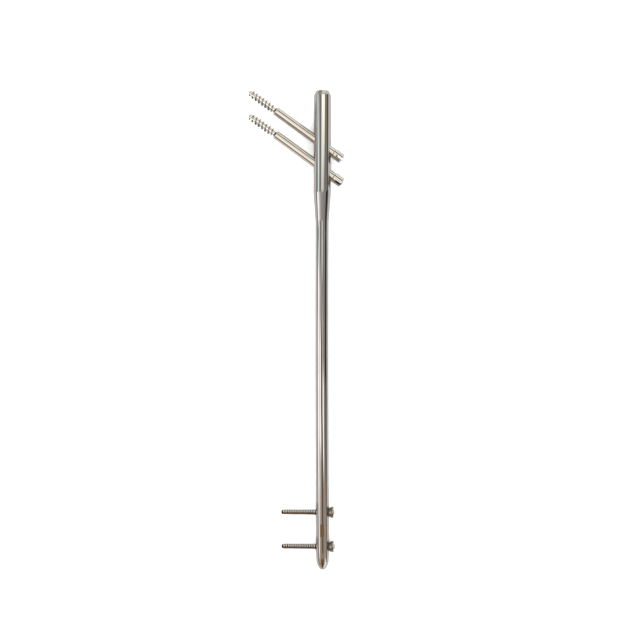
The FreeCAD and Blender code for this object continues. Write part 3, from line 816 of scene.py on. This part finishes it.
class NAILSET_OT_stage(bpy.types.Operator):
    """Lay the pale floor and set up the soft lights and the camera"""

    bl_idname = "nailset.stage"
    bl_label = "Stage"

    def execute(self, context):
        settings = context.scene.nailset_stage
        low, high = CAD_BOX
        middle = Vector((0, (low.y + high.y) / 2, (low.z + high.z) / 2))

        floor = begin(
            "floor", bpy.ops.mesh.primitive_plane_add, size=12, location=(0, middle.y, low.z),
        )
        bpy.ops.mesh.subdivide(number_cuts=3)
        bpy.ops.object.mode_set(mode="OBJECT")
        material = bpy.data.materials.new("floor_paint")
        material.use_nodes = True
        shader = material.node_tree.nodes["Principled BSDF"]
        begun = Value(material.node_tree, None)
        mirrored = begun.node("ShaderNodeLightPath", output=IS_GLOSSY_RAY)
        paint = mixed(mirrored, (*settings.floor_colour, 1), (*settings.mirrored_floor, 1))
        material.node_tree.links.new(paint.socket, shader.inputs["Base Color"])
        shader.inputs["Roughness"].default_value = 0.9
        shader.inputs["Specular IOR Level"].default_value = 0.1
        floor.data.materials.append(material)

        world = bpy.data.worlds.new("studio")
        world.use_nodes = True
        world.cycles.sampling_method = "NONE"
        context.scene.world = world
        tree = world.node_tree
        tree.nodes.clear()
        begun = Value(tree, None)
        direction = begun.node("ShaderNodeTexCoord", output=DIRECTION)
        across, along, up = (
            begun.node("ShaderNodeSeparateXYZ", output=number, Vector=direction)
            for number in range(3)
        )
        around = across.maths("ARCTAN2", up) * (180 / math.pi)
        studio = begun.node("ShaderNodeRGB")
        studio.socket.default_value = (*STUDIO_GREY, 1)
        for _, angles, reach, paint in PANELS:
            mask = around.window(*angles, SOFT_ANGLE) * along.window(*reach, SOFT_REACH)
            studio = mixed(mask, studio, (*paint, 1))
        mirrored = begun.node("ShaderNodeLightPath", output=IS_GLOSSY_RAY)
        light = (settings.floor_light,) * 3
        shown = mixed(mirrored, (*light, 1), studio)
        background = begun.node("ShaderNodeBackground", Color=shown, Strength=1.0)
        output = tree.nodes.new("ShaderNodeOutputWorld")
        tree.links.new(background.socket, output.inputs[0])

        bpy.ops.object.select_all(action="DESELECT")
        turn, tilt = settings.lateral_turn, settings.proximal_tilt
        back = Vector((
            math.sin(turn) * math.cos(tilt), math.sin(tilt), math.cos(turn) * math.cos(tilt),
        ))
        level = Vector((0, 1, 0)).cross(back).normalized()
        right = Matrix.Rotation(settings.roll, 3, back) @ level
        upward = back.cross(right)
        aim = middle + right * settings.aim[0] + upward * settings.aim[1]
        bpy.ops.object.camera_add(location=aim + back * settings.distance)
        camera = context.object
        camera.name = "camera"
        camera.rotation_euler = axes_place(Vector((0, 0, 0)), right, upward, back).to_euler()
        camera.data.lens = settings.lens
        context.scene.camera = camera
        context.scene.view_settings.view_transform = "Standard"
        return {"FINISHED"}


# The studio that the steel mirrors. Each panel hangs over a range of degrees, counted round the
# nail's axis from the zenith towards the screw heads, and over a reach along the nail, counted
# as the proximal share of a direction, from -1 to 1. Later panels cover earlier ones.
STUDIO_GREY = (0.52, 0.52, 0.52)
SOFT_ANGLE = 6.0
SOFT_REACH = 0.05
PANELS = [
    ("left wall", (-100, -70), (-1.5, 1.5), (0.62, 0.50, 0.42)),
    ("left wall, low", (-100, -72), (0.01, 0.17), (0.30, 0.22, 0.17)),
    ("left wall, distal", (-100, -74), (-0.60, -0.17), (0.22, 0.15, 0.11)),
    ("warm distal wall", (-74, 100), (-1.5, -0.20), (0.62, 0.52, 0.43)),
    ("left strip light", (-72, -51), (-0.27, 0.10), (2.45, 2.40, 2.38)),
    ("left strip light, distal", (-68, -47), (-0.39, -0.27), (1.9, 1.80, 1.70)),
    ("beige end", (-85, -28), (-0.87, -0.39), (0.84, 0.61, 0.44)),
    ("left strip's glow", (-51, -33), (-0.20, 0.08), (1.40, 1.38, 1.38)),
    ("left strip's glow, distal", (-49, -35), (-0.30, -0.20), (0.80, 0.78, 0.78)),
    ("blue strip light", (-59, -40), (0.09, 0.24), (1.50, 1.76, 1.80)),
    ("blue strip light, proximal", (-77, -60), (0.212, 0.7), (1.30, 1.40, 1.38)),
    ("green flag", (-40, -19), (0.09, 0.7), (0.30, 0.33, 0.31)),
    ("inner wall", (-33, -14), (-0.01, 0.09), (0.80, 0.77, 0.70)),
    ("soft wall", (-20, -4), (0.07, 0.19), (0.78, 0.74, 0.66)),
    ("inner strip light", (-33, -17), (-0.225, -0.01), (2.40, 2.36, 2.28)),
    ("inner glow", (-36, -20), (-0.29, -0.225), (1.10, 1.07, 1.04)),
    ("cream softbox", (-14, 20), (0.18, 0.35), (1.42, 1.33, 1.15)),
    ("cream softbox, proximal", (-6, 35), (0.235, 0.35), (2.35, 2.28, 1.95)),
    ("cream gap", (-3, 16), (0.09, 0.17), (1.20, 1.14, 0.98)),
    ("warm gap", (0, 17), (-0.19, 0.03), (0.95, 0.80, 0.68)),
    ("right shade", (19, 34), (0.07, 0.19), (0.38, 0.35, 0.30)),
    ("right shade, proximal", (34, 52), (0.17, 0.4), (0.35, 0.32, 0.28)),
    ("right softbox", (15, 34), (-0.24, -0.08), (2.10, 2.00, 1.90)),
    ("right shade, distal", (34, 52), (-0.20, 0.08), (0.48, 0.42, 0.35)),
    ("grey wall", (52, 66), (0.17, 0.5), (0.40, 0.38, 0.36)),
    ("black flag", (52, 74), (-0.10, 0.15), (0.02, 0.018, 0.018)),
    ("black flag, distal", (53, 73), (-0.23, -0.10), (0.27, 0.20, 0.16)),
    ("black flag, proximal", (65, 80), (0.08, 0.26), (0.07, 0.06, 0.06)),
    ("right wall", (74, 95), (-0.60, 0.12), (0.16, 0.13, 0.12)),
    ("brown beam", (-18, 0), (-0.17, -0.005), (0.13, 0.065, 0.04)),
    ("brown beam, distal", (-13, 1), (-0.40, -0.20), (0.37, 0.215, 0.10)),
    ("dark beam, distal", (1, 14), (-0.40, -0.17), (0.10, 0.05, 0.03)),
    ("brown end", (-31, 29), (-1.5, -0.43), (0.22, 0.12, 0.055)),
    ("distal white", (45, 85), (-1.5, -0.385), (1.75, 1.7, 1.6)),
    ("distal shade", (-72, -53), (-0.725, -0.515), (0.10, 0.085, 0.07)),
    ("proximal haze", (-30, 12), (0.33, 0.53), (1.20, 1.15, 1.05)),
    ("proximal line", (-9, 28), (0.52, 0.765), (0.14, 0.125, 0.105)),
    ("proximal light, left", (-38, -9), (0.60, 0.82), (1.25, 1.2, 1.1)),
    ("proximal light", (-12, 85), (0.77, 1.5), (1.32, 1.24, 1.06)),
]


class NAILSET_PT_panel(bpy.types.Panel):
    """Sizes, finishes and the steps that build the set"""

    bl_idname = "NAILSET_PT_panel"
    bl_label = "Nail Set"
    bl_space_type = "VIEW_3D"
    bl_region_type = "UI"
    bl_category = "Nail Set"

    def draw(self, context):
        scene = context.scene
        for group, step in (
            (scene.nailset_nail, "nailset.nail"),
            (scene.nailset_lag, "nailset.lag_screws"),
            (scene.nailset_lock, "nailset.locking_screws"),
            (scene.nailset_stage, "nailset.stage"),
        ):
            box = self.layout.box()
            for name in group.__annotations__:
                box.prop(group, name)
            box.operator(step)


GROUPS = {
    "nailset_nail": NailSizes,
    "nailset_lag": LagScrewSizes,
    "nailset_lock": LockingScrewSizes,
    "nailset_stage": StageSettings,
}
OPERATORS = [NAILSET_OT_nail, NAILSET_OT_lag_screws, NAILSET_OT_locking_screws, NAILSET_OT_stage]


def register():
    """Adds the classes and their settings."""
    for kind in [*GROUPS.values(), *OPERATORS, NAILSET_PT_panel]:
        bpy.utils.register_class(kind)
    for name, group in GROUPS.items():
        setattr(bpy.types.Scene, name, bpy.props.PointerProperty(type=group))


def unregister():
    """Takes them away again."""
    for name in GROUPS:
        delattr(bpy.types.Scene, name)
    for kind in [NAILSET_PT_panel, *reversed(OPERATORS), *GROUPS.values()]:
        bpy.utils.unregister_class(kind)


def main():
    """Builds all pieces and the stage."""
    register()
    bpy.ops.nailset.nail()
    bpy.ops.nailset.lag_screws()
    bpy.ops.nailset.locking_screws()
    bpy.ops.nailset.stage()


if __name__ == "__main__":
    main()
